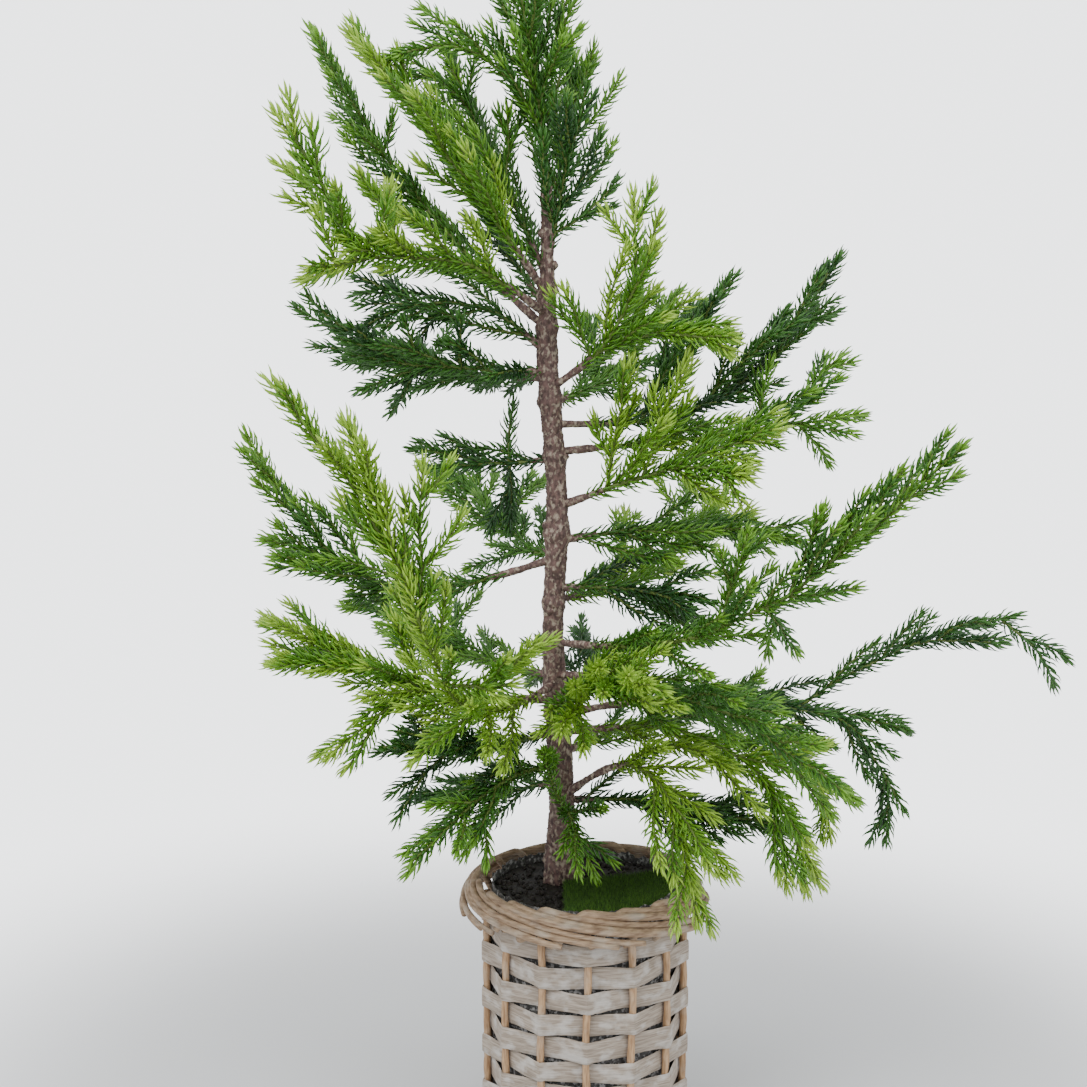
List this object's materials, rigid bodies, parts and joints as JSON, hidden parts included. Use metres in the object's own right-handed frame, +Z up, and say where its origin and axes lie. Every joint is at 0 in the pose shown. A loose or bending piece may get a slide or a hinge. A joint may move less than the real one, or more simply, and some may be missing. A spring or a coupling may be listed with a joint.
{
  "type": "artificial potted cypress tree",
  "caption": "Artificial cypress: a bark-covered stem with open boughs of moulded needles, set in soil and turf in a round woven willow basket.",
  "frame": {"origin": "middle of the basket's flat underside, where it stands", "axes": "+Z up along the stem, +X to the right of the side shown, -Y towards the viewer of that side"},
  "size_m": [0.4692, 0.3454, 0.6775],
  "materials": {
    "willow_strips": "weathered, whitewashed",
    "willow_rods": "peeled rod, satin",
    "liner": "thin crinkled film",
    "soil": "black, crumbly",
    "turf": "short green pile",
    "bark": "moulded bark, matt",
    "foliage_light": "satin moulded needles",
    "foliage_mid": "satin moulded needles",
    "foliage_dark": "satin moulded needles"
  },
  "bodies": {
    "root": {"basket_body": "willow_strips", "basket_rim": "willow_rods", "bough_far_left": "bark", "bough_far_right": "bark", "bough_front_left_tall": "bark", "bough_front_right_long": "bark", "bough_left_near_fan": "bark", "bough_low_front_right": "bark", "bough_low_left": "bark", "bough_low_right": "bark", "bough_low_right_near": "bark", "bough_right_bright": "bark", "bough_right_high": "bark", "bough_right_mid": "bark", "bough_right_upright": "bark", "bough_upper_left_long": "bark", "bough_upper_left_near": "bark", "foliage_back_left": "foliage_dark", "foliage_back_left_high": "foliage_dark", "foliage_back_left_low": "foliage_mid", "foliage_back_low": "foliage_dark", "foliage_back_middle": "foliage_mid", "foliage_back_right": "foliage_light", "foliage_back_right_high": "foliage_mid", "foliage_back_right_low": "foliage_mid", "foliage_back_top": "foliage_mid", "foliage_far_left": "foliage_mid", "foliage_far_right": "foliage_dark", "foliage_front": "foliage_light", "foliage_front_left_low": "foliage_dark", "foliage_front_left_tall": "foliage_light", "foliage_front_right_long": "foliage_mid", "foliage_left_inner": "foliage_dark", "foliage_left_mid": "foliage_dark", "foliage_left_near_fan": "foliage_light", "foliage_left_under": "foliage_dark", "foliage_low_front": "foliage_mid", "foliage_low_front_left": "foliage_mid", "foliage_low_front_right": "foliage_light", "foliage_low_left": "foliage_light", "foliage_low_left_back": "foliage_dark", "foliage_low_right": "foliage_light", "foliage_low_right_near": "foliage_mid", "foliage_low_right_under": "foliage_dark", "foliage_right_bright": "foliage_light", "foliage_right_high": "foliage_dark", "foliage_right_level": "foliage_mid", "foliage_right_low_inner": "foliage_dark", "foliage_right_mid": "foliage_mid", "foliage_right_upright": "foliage_light", "foliage_top": "foliage_mid", "foliage_upper_left_inner": "foliage_mid", "foliage_upper_left_long": "foliage_mid", "foliage_upper_left_near": "foliage_light", "foliage_upper_right": "foliage_dark", "leader": "bark", "liner": "liner", "soil": "soil", "trunk": "bark", "turf_mat": "turf"}
  },
  "joints": []
}
